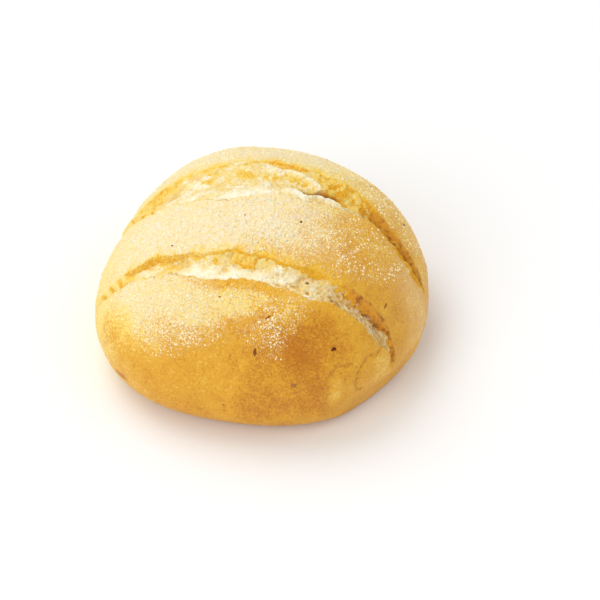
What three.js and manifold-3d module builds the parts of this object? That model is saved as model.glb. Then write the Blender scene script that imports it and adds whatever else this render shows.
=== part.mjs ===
// A round bread roll, scored twice across the top before it was baked on a flat tray.
//
// Millimetres, +Z up. The tray is the plane z = 0, and the origin is on it, under the middle of
// the roll. Both scores run along X: the front one lies on the -Y slope, the back one just behind
// the crown. In the oven they tore open. Each now has a near lip, a strip of bare crumb that falls
// away to a valley, and a far wall that rises to a far lip, where the next lobe of crust begins.
//
// The roll is one solid. Its skin is a net of rings about the Y axis: every ring is a slice
// y = constant, bent to follow the scores, so that the lips are edges of the net. Bran flecks and
// the coarsest grains of the semolina dusting are small bodies joined to it.

import * as THREE from 'three';
import Module from 'manifold-3d';
import { ImprovedNoise } from 'three/addons/math/ImprovedNoise.js';
import { mergeVertices } from 'three/addons/utils/BufferGeometryUtils.js';

const { clamp, degToRad, lerp, seededRandom, smoothstep } = THREE.MathUtils;

// ---- Driving dimensions ----

const width = 87.3; // along X, the way the scores run, before the outline swells
const depth = 87.4; // along Y, across the scores
const height = 48.9; // from the tray to the crown, before the scores opened

// ---- The plain dough ----

const dough = {
  middle: new THREE.Vector2(-0.6, -0.65), // the uneven outline's middle, so that its box is centred
  waist: height * 0.26, // height of the widest level
  keel: 0.65, // share of the keel's depth that stands above the tray: 1 would be no flat base
  crownPower: 1.82, // under 2: the crown is a little pointed
  keelPower: 2.54, // the underside turns in more sharply
  planPower: 2.28, // a little squarer than an ellipse
  swell: { twice: 0.016, thriceCos: 0.018, thriceSin: -0.019 }, // uneven outline, as shares
  lumpSize: 26,
  lumpHeight: 0.55,
};

// Where a neighbour on the tray held the roll back, its flank is flat low down.
const flank = { bearing: degToRad(-31), distance: 39.6, height: 20, share: 0.9 };

// ---- The scores ----

// A lip is a smooth line through a few plan points, and a score's two lips meet at its ends. The
// valley lies that share of the way across and is sunk below the plain dough. The far lip stands
// above it.
const scores = [
  {
    near: [[-41, -23], [-34, -24.5], [-20, -25.3], [2, -25], [19, -23.2], [33, -21.5], [40.5, -18.8]],
    far: [[-41, -23], [-31, -22.1], [-15, -20.3], [3, -17.2], [20, -16.1], [35, -15.9], [40.5, -18.8]],
    valley: () => 0.68,
    sunk: 2.7,
    stands: 1.2,
  },
  {
    near: [[-42, 1.8], [-34, -3], [-11, -3.4], [5, 1.8], [21, 5.6], [32, 5.1], [43, 3.8]],
    far: [[-42, 1.8], [-35, 5.5], [-16, 11.4], [0, 15.3], [13, 13.4], [27, 9.2], [43, 3.8]],
    valley: (x) => lerp(0.6, 0.36, smoothstep(x, -20, 8)),
    sunk: 3,
    stands: 1.2,
  },
];

const lip = { rise: 0.45, reach: 3, wobble: 0.35, wobbleLength: 3.6 }; // near lip, torn edges
const ear = { reach: 7, overhang: 0.5, overhangReach: 1.3 }; // the far lip leans over its wall
const crumb = { lump: 4.2, lumpHeight: 1, pore: 2.3, poreHeight: 0.35 };
const fullGap = 5; // the lips are this far apart where a score has its full depth

// Down the flanks each score runs on as a soft crease between the swollen lobes.
const crease = { depth: 1.2, reach: 4.5, begins: 24, full: 38, lowest: 12 };

// A bridge of crust that did not tear, still hanging from the front score's far lip.
const bridge = { x: 0.5, halfWidth: 3.4, start: 0.32, solid: 0.52, height: 0.4 };

// ---- What lies on the crust ----

// The bran flecks of the front and middle lobes, each as x, y, length and width.
const frontFlecks = [
  [7.1, -37.1, 2.5, 1.3],
  [26, -29.4, 1.9, 1.5],
  [8.7, -31.1, 1.4, 0.9],
  [17.9, -38, 1.6, 1],
  [-4.3, -29.4, 1, 0.8],
  [10.2, -5.3, 1, 0.7],
  [-22.7, -17.2, 1, 0.8],
  [-13.5, -9, 0.9, 0.6],
  [-3.2, -7.8, 0.9, 0.6],
  [35.4, -12.1, 1.8, 0.7],
];
const fleck = { thickness: 1, stands: 0.25, turn: 1.9, reach: 0.9 };
const backFlecks = { count: 7, length: 1.5, width: 1, from: 4, seed: 41 }; // strewn over the rest
const grain = { count: 96, diameter: 1.05, stands: 0.4, gap: 3.2, reach: 0.86, seed: 7 };
const leastSize = 0.75; // of a fleck or grain, as a share of its named size
const largestSize = 1.1;

// ---- The net ----

const net = {
  frontRings: 11,
  frontScoreRings: 7,
  middleRings: 7,
  backScoreRings: 10,
  backRings: 13,
  shoulder: 1.3, // width of the crust's first strip beside a lip
  least: 0.5, // width of a score's rings where it has run out
  topColumns: 80,
  baseColumns: 12,
  topStart: degToRad(-22), // the top columns span the crown and the flanks
  topEnd: degToRad(202),
};

const crust = new THREE.MeshStandardMaterial({
  name: 'crust',
  color: 0xdc9f45,
  roughness: 0.62,
  metalness: 0,
});

const up = new THREE.Vector3(0, 0, 1);
const down = new THREE.Vector3(0, 0, -1);
const noise = new ImprovedNoise();
const lumpiness = (x, y, z, size) => noise.noise(x / size + 9.7, y / size + 3.3, z / size + 5.1);
const bell = (x) => Math.exp(-x * x);
const crownRise = height - dough.waist;
const keelDepth = dough.waist / dough.keel;

// The plain dough's surface in a direction from the middle of the waist.
function doughPoint(direction) {
  const bearing = Math.atan2(direction.y, direction.x);
  const { twice, thriceCos, thriceSin } = dough.swell;
  const swell =
    1 + twice * Math.sin(2 * bearing) + thriceCos * Math.cos(3 * bearing) +
    thriceSin * Math.sin(3 * bearing);
  const across = Math.abs((2 * direction.x) / width) ** dough.planPower;
  const along = Math.abs((2 * direction.y) / depth) ** dough.planPower;
  const plan = (across + along) ** (1 / dough.planPower) / swell;
  const inCrown = direction.z >= 0;
  const power = inCrown ? dough.crownPower : dough.keelPower;
  const rise = Math.abs(direction.z) / (inCrown ? crownRise : keelDepth);
  const point = direction.clone().multiplyScalar((plan ** power + rise ** power) ** (-1 / power));
  point.add(new THREE.Vector3(dough.middle.x, dough.middle.y, dough.waist));

  const beyond = point.x * Math.cos(flank.bearing) + point.y * Math.sin(flank.bearing);
  const low = clamp(1 - point.z / flank.height, 0, 1);
  const pull = Math.max(beyond - flank.distance, 0) * low * flank.share;
  point.x -= pull * Math.cos(flank.bearing);
  point.y -= pull * Math.sin(flank.bearing);
  return point;
}

// ringAngle runs from 0 at the front pole to pi at the back one, and turn goes round the Y axis,
// from +X over the crown.
function plainPoint(ringAngle, turn) {
  return doughPoint(
    new THREE.Vector3(
      Math.sin(ringAngle) * Math.cos(turn),
      -Math.cos(ringAngle),
      Math.sin(ringAngle) * Math.sin(turn),
    ),
  );
}

function plainNormal(ringAngle, turn) {
  const step = 0.01;
  const inner = clamp(ringAngle, 2 * step, Math.PI - 2 * step);
  const alongRing = plainPoint(inner, turn + step).sub(plainPoint(inner, turn - step));
  const acrossRings = plainPoint(inner + step, turn).sub(plainPoint(inner - step, turn));
  return alongRing.cross(acrossRings).negate().normalize();
}

// A lip as a function of x. Its edge is a little ragged.
function lipOf(points, phase) {
  const [xs, ys] = [points.map(([x]) => x), points.map(([, y]) => y)];
  const line = new THREE.CubicInterpolant(xs, ys, 1);
  return (x) => {
    const end = smoothstep(Math.min(x - xs[0], xs.at(-1) - x), 0, 6);
    const ragged = Math.sin(x / lip.wobbleLength + phase) + 0.6 * Math.sin(x / 1.6 - phase);
    return line.evaluate(x)[0] + lip.wobble * end * ragged;
  };
}

scores.forEach((score, i) => {
  score.nearLip = lipOf(score.near, i);
  score.farLip = lipOf(score.far, i + 2.3);
  score.start = score.near[0][0];
  score.end = score.near.at(-1)[0];
});

// How far the score moves the skin at (x, y) along its normal, and forward at the far lip.
function scoreRelief(score, point) {
  const near = score.nearLip(point.x);
  const gap = Math.max(score.farLip(point.x) - near, 0.01);
  if (point.x <= score.start || point.x >= score.end) return { rise: 0, forward: 0 };
  const open = Math.min(1, gap / fullGap) ** 0.7;
  const stands = score.stands * open;
  const from = point.y - near;
  const past = from - gap;
  const forward = ear.overhang * open * bell(past / ear.overhangReach);
  if (from <= 0) return { rise: lip.rise * open * Math.exp(from / lip.reach), forward };
  if (past >= 0) return { rise: stands * Math.exp(-past / ear.reach), forward };

  const share = from / gap;
  const valley = score.valley(point.x);
  const torn =
    crumb.lumpHeight * lumpiness(point.x, point.y, point.z, crumb.lump) +
    crumb.poreHeight * lumpiness(point.x, point.y, point.z, crumb.pore);
  const fall = lerp(lip.rise * open, -score.sunk * open, smoothstep(share, 0, valley));
  const climb = lerp(-score.sunk * open, stands, smoothstep(share, valley, 1));
  let rise = (share < valley ? fall : climb) + 4 * share * (1 - share) * torn * open;
  if (score === scores[0]) {
    const held = bell(((point.x - bridge.x) / bridge.halfWidth) ** 3);
    const cover = held * smoothstep(share, bridge.start, bridge.solid);
    rise = lerp(rise, Math.max(rise, bridge.height), cover);
  }
  return { rise, forward };
}

function creaseRelief(score, point) {
  const line = (score.nearLip(point.x) + score.farLip(point.x)) / 2;
  const flankShare = smoothstep(Math.abs(point.x), crease.begins, crease.full);
  const highShare = smoothstep(point.z, crease.lowest, crease.lowest + 16);
  return -crease.depth * flankShare * highShare * bell((point.y - line) / crease.reach);
}

// A point of the finished skin.
function skinPoint(ringAngle, turn) {
  const point = plainPoint(ringAngle, turn);
  const normal = plainNormal(ringAngle, turn);
  const lumps = dough.lumpHeight * lumpiness(point.x, point.y, point.z, dough.lumpSize);
  const offTray = smoothstep(point.z, 0, 8);
  const onTop = smoothstep(point.z, dough.waist - 4, dough.waist + 5);
  let rise = lumps * offTray;
  let forward = 0;
  for (const score of scores) {
    const relief = scoreRelief(score, point);
    rise += relief.rise * onTop + creaseRelief(score, point) * offTray;
    forward += relief.forward * onTop;
  }
  point.addScaledVector(normal, rise);
  point.y -= forward;
  return point;
}

// The ring angle at which a column of the net crosses a line y = line(x).
function ringAngleOn(line, turn) {
  let low = 0.05;
  let high = Math.PI - 0.05;
  for (let i = 0; i < 30; i++) {
    const middle = (low + high) / 2;
    const point = plainPoint(middle, turn);
    if (point.y < line(point.x)) low = middle;
    else high = middle;
  }
  return (low + high) / 2;
}

// The ring angles of one column, front pole to back pole. The score lines split it, and the rings
// between two lines share the angle between them evenly.
function columnAngles(turn) {
  const [front, back] = scores;
  const stops = [
    { line: (x) => front.nearLip(x) - net.shoulder, rings: net.frontRings },
    { line: front.nearLip, rings: 1 },
    { line: (x) => front.farLip(x) + net.least, rings: net.frontScoreRings },
    { line: (x) => front.farLip(x) + net.least + net.shoulder, rings: 1 },
    { line: (x) => back.nearLip(x) - net.shoulder, rings: net.middleRings },
    { line: back.nearLip, rings: 1 },
    { line: (x) => back.farLip(x) + net.least, rings: net.backScoreRings },
    { line: (x) => back.farLip(x) + net.least + net.shoulder, rings: 1 },
  ];
  const angles = [0];
  const shareOut = (end, rings) => {
    const start = angles.at(-1);
    for (let i = 1; i <= rings; i++) angles.push(lerp(start, end, i / rings));
  };
  stops.forEach(({ line, rings }) => shareOut(ringAngleOn(line, turn), rings));
  shareOut(Math.PI, net.backRings);
  return angles;
}

function columnTurns() {
  const under = degToRad(360) - (net.topEnd - net.topStart);
  const top = Array.from({ length: net.topColumns }, (_, i) =>
    lerp(net.topStart, net.topEnd, i / net.topColumns));
  const base = Array.from({ length: net.baseColumns }, (_, i) =>
    net.topEnd + (under * i) / net.baseColumns);
  return [...top, ...base];
}

// The skin as a closed net of triangles, with one vertex at each pole.
function skinGeometry() {
  const turns = columnTurns();
  const columns = turns.map((turn) => columnAngles(turn).map((angle) => skinPoint(angle, turn)));
  const rings = columns[0].length - 1; // the last ring is the back pole
  const vertices = [columns[0][0], columns[0][rings]];
  const index = (column, ring) => 2 + (column % turns.length) * (rings - 1) + ring - 1;
  columns.forEach((column) => vertices.push(...column.slice(1, rings)));
  const faces = [];
  turns.forEach((_, i) => {
    faces.push(0, index(i, 1), index(i + 1, 1));
    faces.push(1, index(i + 1, rings - 1), index(i, rings - 1));
    for (let ring = 1; ring < rings - 1; ring++) {
      const [a, b] = [index(i, ring), index(i + 1, ring)];
      const [c, d] = [index(i, ring + 1), index(i + 1, ring + 1)];
      faces.push(a, d, b, a, c, d);
    }
  });
  return new THREE.BufferGeometry().setFromPoints(vertices).setIndex(faces);
}

// Keeps small bodies off the bare crumb and the lips.
const onCrust = (x, y) => scores.every((score) =>
  y < score.nearLip(x) - net.shoulder || y > score.farLip(x) + net.shoulder + net.least);

// Independent draws between 0 and 1 for the same seed.
const draw = (seed, which) => seededRandom(seed * 64 + which);
const drawSize = (seed) => lerp(leastSize, largestSize, draw(seed, 3));
const drawSpin = (seed) => Math.PI * draw(seed, 4);

// A plan position on the crust. reach is the share of the plan that it covers.
function drawPlace(seed, reach) {
  const radius = reach * Math.sqrt(draw(seed, 1));
  const bearing = 2 * Math.PI * draw(seed, 2);
  const x = (radius * Math.cos(bearing) * width) / 2;
  const y = (radius * Math.sin(bearing) * depth) / 2;
  return onCrust(x, y) ? { x, y } : drawPlace(seed + 1009, reach);
}

// Lays a small body on the skin above a plan position, raised along the skin's normal.
function layOn(skin, geometry, x, y, raise, spin) {
  const ray = new THREE.Raycaster(new THREE.Vector3(x, y, 2 * height), down);
  const [{ point, face }] = ray.intersectObject(skin);
  const lay = new THREE.Quaternion().setFromUnitVectors(up, face.normal);
  lay.multiply(new THREE.Quaternion().setFromAxisAngle(up, spin));
  point.addScaledVector(face.normal, raise);
  return geometry.applyMatrix4(new THREE.Matrix4().compose(point, lay, new THREE.Vector3(1, 1, 1)));
}

function layFleck(skin, x, y, length, width, spin) {
  const flake = new THREE.OctahedronGeometry(0.5, 1).scale(length, width, fleck.thickness);
  return layOn(skin, flake, x, y, fleck.stands - fleck.thickness / 2, spin);
}

function fleckGeometries(skin) {
  const front = frontFlecks.map(([x, y, length, width], i) =>
    layFleck(skin, x, y, length, width, fleck.turn + i));
  const back = Array.from({ length: backFlecks.count }, (_, i) => {
    const seed = backFlecks.seed + i;
    const { x, y } = drawPlace(seed, fleck.reach);
    const size = drawSize(seed);
    const behind = backFlecks.from + Math.abs(y);
    return layFleck(skin, x, behind, backFlecks.length * size, backFlecks.width * size, drawSpin(seed));
  });
  return [...front, ...back];
}

// The dusting lies on the crown and the upper slopes, with at least a gap between its grains.
function grainGeometries(skin) {
  const kept = [];
  for (let seed = grain.seed; kept.length < grain.count; seed++) {
    const { x, y } = drawPlace(seed, grain.reach);
    if (kept.every((other) => Math.hypot(other.x - x, other.y - y) > grain.gap))
      kept.push({ x, y, seed });
  }
  return kept.map(({ x, y, seed }) => {
    const size = grain.diameter * drawSize(seed);
    const lump = new THREE.OctahedronGeometry(size / 2, 0);
    return layOn(skin, lump, x, y, grain.stands - size / 2, drawSpin(seed));
  });
}

const wasm = await Module();
wasm.setup();

function solidOf(geometry) {
  const bare = geometry.index ? geometry.clone() : new THREE.BufferGeometry()
    .setAttribute('position', geometry.getAttribute('position').clone());
  bare.deleteAttribute('normal');
  bare.deleteAttribute('uv');
  const merged = mergeVertices(bare, 1e-4);
  return new wasm.Manifold(new wasm.Mesh({
    numProp: 3,
    vertProperties: new Float32Array(merged.getAttribute('position').array),
    triVerts: new Uint32Array(merged.index.array),
  }));
}

function geometryOf(solid) {
  const mesh = solid.getMesh();
  const geometry = new THREE.BufferGeometry()
    .setAttribute('position', new THREE.BufferAttribute(mesh.vertProperties, 3))
    .setIndex(new THREE.BufferAttribute(mesh.triVerts, 1));
  geometry.computeVertexNormals();
  return geometry;
}

function breadRoll() {
  const skin = new THREE.Mesh(skinGeometry());
  const room = 4 * height;
  const tray = solidOf(new THREE.BoxGeometry(room, room, height).translate(0, 0, -height / 2));
  const whole = [...fleckGeometries(skin), ...grainGeometries(skin)]
    .map(solidOf)
    .reduce((joined, body) => joined.add(body), solidOf(skin.geometry).subtract(tray));
  const geometry = geometryOf(whole);
  geometry.computeBoundingBox();
  const middle = geometry.boundingBox.getCenter(new THREE.Vector3());
  geometry.translate(-middle.x, -middle.y, 0);
  const mesh = new THREE.Mesh(geometry, crust);
  mesh.name = 'bread_roll';
  return mesh;
}

const roll = new THREE.Group();
roll.name = 'roll';
roll.add(breadRoll());

export default roll;
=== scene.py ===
# A round bread roll with two torn scores, dusted with semolina.
import math
from functools import reduce
from types import SimpleNamespace

import bpy
import numpy as np
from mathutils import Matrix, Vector


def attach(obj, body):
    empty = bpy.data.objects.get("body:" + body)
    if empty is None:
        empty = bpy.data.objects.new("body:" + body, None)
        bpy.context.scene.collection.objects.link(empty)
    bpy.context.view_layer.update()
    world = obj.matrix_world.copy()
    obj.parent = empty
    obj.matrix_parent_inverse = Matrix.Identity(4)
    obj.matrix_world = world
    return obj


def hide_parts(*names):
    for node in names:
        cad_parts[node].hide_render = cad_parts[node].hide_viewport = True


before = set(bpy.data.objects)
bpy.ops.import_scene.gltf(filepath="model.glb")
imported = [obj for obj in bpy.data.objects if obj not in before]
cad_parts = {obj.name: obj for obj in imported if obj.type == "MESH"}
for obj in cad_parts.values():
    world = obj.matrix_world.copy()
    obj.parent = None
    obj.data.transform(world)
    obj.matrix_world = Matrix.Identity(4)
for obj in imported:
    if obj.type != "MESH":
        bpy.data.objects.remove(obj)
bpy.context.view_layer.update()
bpy.ops.object.select_all(action="DESELECT")
mm = 0.001  # the shapes below are worked out in millimetres


# small helpers

def tone(red, green, blue):
    # a colour as a paint chart gives it, 0 to 255, made linear
    parts = [value / 255 for value in (red, green, blue)]
    return tuple(c / 12.92 if c <= 0.04045 else ((c + 0.055) / 1.055) ** 2.4 for c in parts) + (1,)


def mix(low, high, share):
    return low + (high - low) * share


def ease(value, start, end):
    # 0 at the start and 1 at the end, whichever of the two is the larger
    share = np.clip((value - start) / (end - start), 0, 1)
    return share * share * (3 - 2 * share)


def within(value, rises, risen, falls, fallen):
    return ease(value, rises, risen) * ease(value, fallen, falls)


def bell(value):
    return np.exp(-value * value)


def ovalAt(x, y, middleX, middleY, across, along):
    return bell(np.hypot((x - middleX) / across, (y - middleY) / along))


def most(*shares):
    return reduce(np.maximum, shares)


numbers = np.random.default_rng(12)
shuffled = numbers.permutation(256)
slopes = numbers.normal(size=(256, 3))
slopes /= np.linalg.norm(slopes, axis=1)[:, None]
spots = numbers.random((256, 3))


def cellNumber(cell, seed):
    number = seed
    for axis in range(3):
        number = shuffled[(cell[:, axis] + number) & 255]
    return number


def softNoise(points, size, seed=0):
    # rolling hills, from about -1 to 1, size apart
    scaled = points / size
    cell = np.floor(scaled).astype(int)
    part = scaled - cell
    fade = part ** 3 * (part * (part * 6 - 15) + 10)
    total = np.zeros(len(points))
    for corner in np.ndindex(2, 2, 2):
        weight = np.prod(np.where(np.array(corner) == 1, fade, 1 - fade), axis=1)
        slope = slopes[cellNumber(cell + np.array(corner), seed)]
        total += weight * np.sum(slope * (part - np.array(corner)), axis=1)
    return total * 1.6


def cellNoise(points, size, seed):
    # distance to the nearest of many scattered points, in shares of size
    scaled = points / size
    cell = np.floor(scaled).astype(int)
    part = scaled - cell
    nearest = np.full(len(points), 9.0)
    for corner in np.ndindex(3, 3, 3):
        step = np.array(corner) - 1
        gap = np.linalg.norm(step + spots[cellNumber(cell + step, seed)] - part, axis=1)
        nearest = np.minimum(nearest, gap)
    return nearest


def onlySelect(piece):
    bpy.ops.object.select_all(action="DESELECT")
    piece.select_set(True)
    bpy.context.view_layer.objects.active = piece


def readAll(items, name, wide=1, kind=np.float32):
    values = np.empty(len(items) * wide, dtype=kind)
    items.foreach_get(name, values)
    return values.reshape(-1, wide) if wide > 1 else values


def vertexPlaces(piece):
    return readAll(piece.data.vertices, "co", 3).astype(float)


def moveVertices(piece, places):
    piece.data.vertices.foreach_set("co", (places * mm).astype(np.float32).ravel())
    piece.data.update()


def storeMask(piece, name, values):
    # a share from 0 to 1 at every vertex, which the finish reads
    mask = piece.data.attributes.new(name, "FLOAT", "POINT")
    mask.data.foreach_set("value", np.clip(values, 0, 1).astype(np.float32))


def storedMask(piece, name):
    return readAll(piece.data.attributes[name].data, "value").astype(float)


def vertexGroup(piece, name, shares):
    steps = 20
    group = piece.vertex_groups.new(name=name)
    levels = np.round(np.clip(shares, 0, 1) * steps).astype(int)
    for level in range(1, steps + 1):
        members = np.nonzero(levels == level)[0]
        if len(members):
            group.add(members.tolist(), level / steps, "REPLACE")


def raiseRelief(piece, kind, size, height, group, **settings):
    # pushes the skin in and out by a pattern, and applies it
    pattern = bpy.data.textures.new(piece.name + "Relief", kind)
    pattern.noise_scale = size * mm
    for key, value in settings.items():
        setattr(pattern, key, value)
    onlySelect(piece)
    relief = piece.modifiers.new("relief", "DISPLACE")
    relief.texture = pattern
    relief.texture_coords = "LOCAL"
    relief.strength = height * mm
    relief.mid_level = 0.5
    relief.vertex_group = group
    bpy.ops.object.modifier_apply(modifier=relief.name)


# the dough's own form

dough = {
    "width": 86.9,
    "depth": 86.75,
    "height": 48.5,
    "middle": (-0.77, -0.72),
    "waist": 12.714,  # how high it is widest
    "keel": 0.65,
    # how square it is above the waist, below it and seen from above
    "crownPower": 1.82,
    "keelPower": 2.54,
    "planPower": 2.28,
    "swell": (0.016, 0.018, -0.019),
    # the flank that is drawn in towards the tray
    "flankBearing": math.radians(-31),
    "flankDistance": 39.6,
    "flankHeight": 20,
    "flankShare": 0.9,
    "rim": 1.1,  # how softly the flank turns into the flat base
    "lumps": ((24, 0.4), (9, 0.22)),
}


def plainPoints(ringAngle, turn):
    across = np.sin(ringAngle) * np.cos(turn)
    along = -np.cos(ringAngle)
    rising = np.sin(ringAngle) * np.sin(turn)
    bearing = np.arctan2(along, across)
    twice, thriceCos, thriceSin = dough["swell"]
    swell = 1 + twice * np.sin(2 * bearing)
    swell += thriceCos * np.cos(3 * bearing) + thriceSin * np.sin(3 * bearing)
    power = dough["planPower"]
    wide = np.abs(2 * across / dough["width"]) ** power
    deep = np.abs(2 * along / dough["depth"]) ** power
    plan = (wide + deep) ** (1 / power) / swell
    crown = rising >= 0
    bend = np.where(crown, dough["crownPower"], dough["keelPower"])
    reach = np.where(crown, dough["height"] - dough["waist"], dough["waist"] / dough["keel"])
    size = (plan ** bend + (np.abs(rising) / reach) ** bend) ** (-1 / bend)
    x = across * size + dough["middle"][0]
    y = along * size + dough["middle"][1]
    z = rising * size + dough["waist"]
    facing = np.cos(dough["flankBearing"])
    aside = np.sin(dough["flankBearing"])
    beyond = np.maximum(x * facing + y * aside - dough["flankDistance"], 0)
    pull = beyond * np.clip(1 - z / dough["flankHeight"], 0, 1) * dough["flankShare"]
    return np.stack([x - pull * facing, y - pull * aside, z], axis=-1)


def plainNormals(ringAngle, turn):
    step = 0.01
    inner = np.clip(ringAngle, 2 * step, math.pi - 2 * step)
    alongRing = plainPoints(inner, turn + step) - plainPoints(inner, turn - step)
    acrossRings = plainPoints(inner + step, turn) - plainPoints(inner - step, turn)
    normal = np.cross(acrossRings, alongRing)
    return normal / np.linalg.norm(normal, axis=-1)[..., None]


def aboveWaist(z):
    return ease(z, dough["waist"] - 4, dough["waist"] + 5)


# the scores, where the crust tore open, each line a row of x and y from the left end to the right

scores = {
    "front": {
        "near": ((-41, -23), (-34, -24.3), (-26, -25.3), (-15.5, -26), (-9, -26), (-3, -25), (8, -24.4),
                 (17, -23.5), (24, -22.4), (30, -21.9), (35, -21.3), (40.5, -18.8)),
        "far": ((-41, -23), (-31, -22.1), (-15, -20.3), (-4, -18.9), (3, -18.2), (14, -17.5), (22, -17),
                (30, -16.7), (36, -16.6), (40.5, -18.8)),
        "seed": 3,
        "phase": 0,
        "sunk": 2.7,
        # how high the lips stand, how much golden wall shows under the far one, and how golden each is
        "nearStands": ((-41, 0.1), (-15, 0.25), (12, 0.4), (24, 0.6), (40.5, 0.2)),
        "farStands": ((-41, 0.5), (-30, 1), (-14, 0.9), (5, 0.8), (18, 0.8), (30, 1.2), (40.5, 0.6)),
        "band": ((-41, 0.8), (-37, 1.2), (-31, 1.9), (-25, 1.8), (-18, 1.3), (-12, 0.5), (-5, 0.4),
                 (5, 0.5), (12, 0.6), (20, 0.7), (26, 1), (32, 1.3), (36, 1.2), (40.5, 0.5)),
        "nearGold": ((-41, 0.05), (-12, 0.15), (-6, 0.6), (13, 0.5), (18, 0.3), (24, 0.1), (40.5, 0)),
        "farGold": ((-41, 0.6), (-33, 0.9), (-20, 0.9), (-12, 0.75), (0, 0.9), (14, 0.9), (22, 0.7),
                    (30, 0.5), (40.5, 0.3)),
        # how far the gold spreads past the far lip, at the left and at the right, and where that changes
        "goldReach": (1.8, 2.4, -12, -2),
        # where the far edge is browned and rough
        "seared": ((-41, 0), (22, 0), (25.5, 0.5), (28, 0.9), (37, 0.8), (40.5, 0.3)),
        "searedBehind": 0.3,
        "searedHalf": 1.2,
        "ringsBefore": 80,
        "wallRings": 3,
    },
    "back": {
        "near": ((-42, 1.8), (-34, -2.8), (-23, -4), (-15, -4.2), (-9, -3.7), (-1, -0.8), (4, 0.7), (12, 1.9),
                 (17, 3.4), (22, 5.2), (29, 6.1), (35, 5), (39, 4.7), (43, 5)),
        "far": ((-42, 1.8), (-35, 5.5), (-16, 11.4), (0, 15.2), (8, 15.2), (15, 14.9), (21, 14), (26, 12.2),
                (31, 10.3), (36, 8.7), (40, 7.1), (43, 5)),
        "seed": 11,
        "phase": 1,
        "sunk": 3,
        "nearStands": ((-42, 0.1), (-25, 0.1), (0, 0.15), (10, 0.4), (28, 0.4), (34, 0.1), (43, 0)),
        "farStands": ((-42, 0.5), (-20, 0.5), (0, 0.75), (12, 0.9), (30, 1), (43, 0.6)),
        "band": ((-42, 0.4), (-36, 0.7), (-26, 0.25), (-8, 0.2), (-2, 0.8), (6, 0.9), (12, 0.4), (20, 0.6),
                 (26, 1.7), (36, 1.9), (43, 0.6)),
        "nearGold": ((-42, 0), (-12, 0.1), (0, 0.12), (12, 0.15), (43, 0.1)),
        "farGold": ((-42, 0), (-39, 0.1), (-36, 0.8), (-33, 1), (-30, 0.9), (-26, 0.6), (-14, 0.7),
                    (-8, 0.8), (2, 1), (8, 0.9), (20, 0.95), (34, 0.9), (43, 0.8)),
        "goldReach": (1.9, 2.4, 4, 12),
        "seared": ((-42, 0), (18, 0), (25, 0.4), (32, 0.75), (43, 0.9)),
        "searedBehind": 0.6,
        "searedHalf": 1.4,
        "ringsBefore": 54,
        "wallRings": 4,
    },
}
lip = {"reach": 2.4, "wobble": 0.3, "wobbleLength": 3.6, "torn": ((2.6, 0.4), (1.1, 0.3), (0.55, 0.16))}
ear = {"reach": 7, "overhang": 0.3, "overhangReach": 1.2, "wall": 1.25}
crease = {"depth": 1.2, "reach": 4.5, "begins": 24, "full": 38, "lowest": 12}


def smoothLine(points, x):
    # a smooth curve through the points
    knots, values = np.array(points, dtype=float).T
    leans = np.diff(values) / np.diff(knots)
    leans = np.concatenate([leans[:1], (leans[:-1] + leans[1:]) / 2, leans[-1:]])
    x = np.clip(x, knots[0], knots[-1])
    i = np.clip(np.searchsorted(knots, x, side="right") - 1, 0, len(knots) - 2)
    run = knots[i + 1] - knots[i]
    t = (x - knots[i]) / run
    start = values[i] * (2 * t ** 3 - 3 * t ** 2 + 1) + leans[i] * run * (t ** 3 - 2 * t ** 2 + t)
    end = values[i + 1] * (3 * t ** 2 - 2 * t ** 3) + leans[i + 1] * run * (t ** 3 - t ** 2)
    return start + end


def lipLine(points, x, phase, seed):
    away = ease(np.minimum(x - points[0][0], points[-1][0] - x), 0, 6)
    ragged = lip["wobble"] * (np.sin(x / lip["wobbleLength"] + phase) + 0.6 * np.sin(x / 1.6 - phase))
    line = np.stack([x, np.full(x.shape, 7.3 + seed), np.full(x.shape, 1.7)], axis=1)
    for size, height in lip["torn"]:
        ragged = ragged + height * softNoise(line, size, seed)
    return smoothLine(points, x) + away * ragged


def nearLip(score, x):
    return lipLine(score["near"], x, score["phase"], score["seed"])


def farLip(score, x):
    return lipLine(score["far"], x, score["phase"] + 2.3, score["seed"] + 4)


def openShare(score, x):
    # how far open the score is, from 0 to 1, and its width
    gap = np.maximum(farLip(score, x) - nearLip(score, x), 0.01)
    inside = (x > score["near"][0][0]) & (x < score["near"][-1][0])
    return np.where(inside, np.minimum(1, gap / 5) ** 0.7, 0), gap


def wallFoot(score, x):
    # where the torn wall under the far lip meets the bottom
    gap = openShare(score, x)[1]
    return farLip(score, x) - np.minimum(smoothLine(score["band"], x) / ear["wall"] + 1.2, 0.6 * gap)


def ringAngleOn(line, turn):
    # the ring angle at which each column crosses the line y = line(x)
    low = np.full(turn.shape, 0.05)
    high = np.full(turn.shape, math.pi - 0.05)
    for _ in range(30):
        middle = (low + high) / 2
        point = plainPoints(middle, turn)
        before = point[:, 1] < line(point[:, 0])
        low = np.where(before, middle, low)
        high = np.where(before, high, middle)
    return (low + high) / 2


# the crust

crust = {
    "columns": 348,
    "topColumns": 296,
    "topSpan": (-22, 202),
    "lastRings": 82,
    "leastRing": 0.0004,
    "shoulder": 1.3,
    "least": 0.5,
    "pebbles": ((3.6, 0.18), (1.3, 0.27)),
    "searedPebbles": (0.9, 0.8),
    "dent": (-39, 4, 5, 4.5),  # at the back score's left end: x, y and reach each way
    "dentDepth": 0.8,
}


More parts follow.
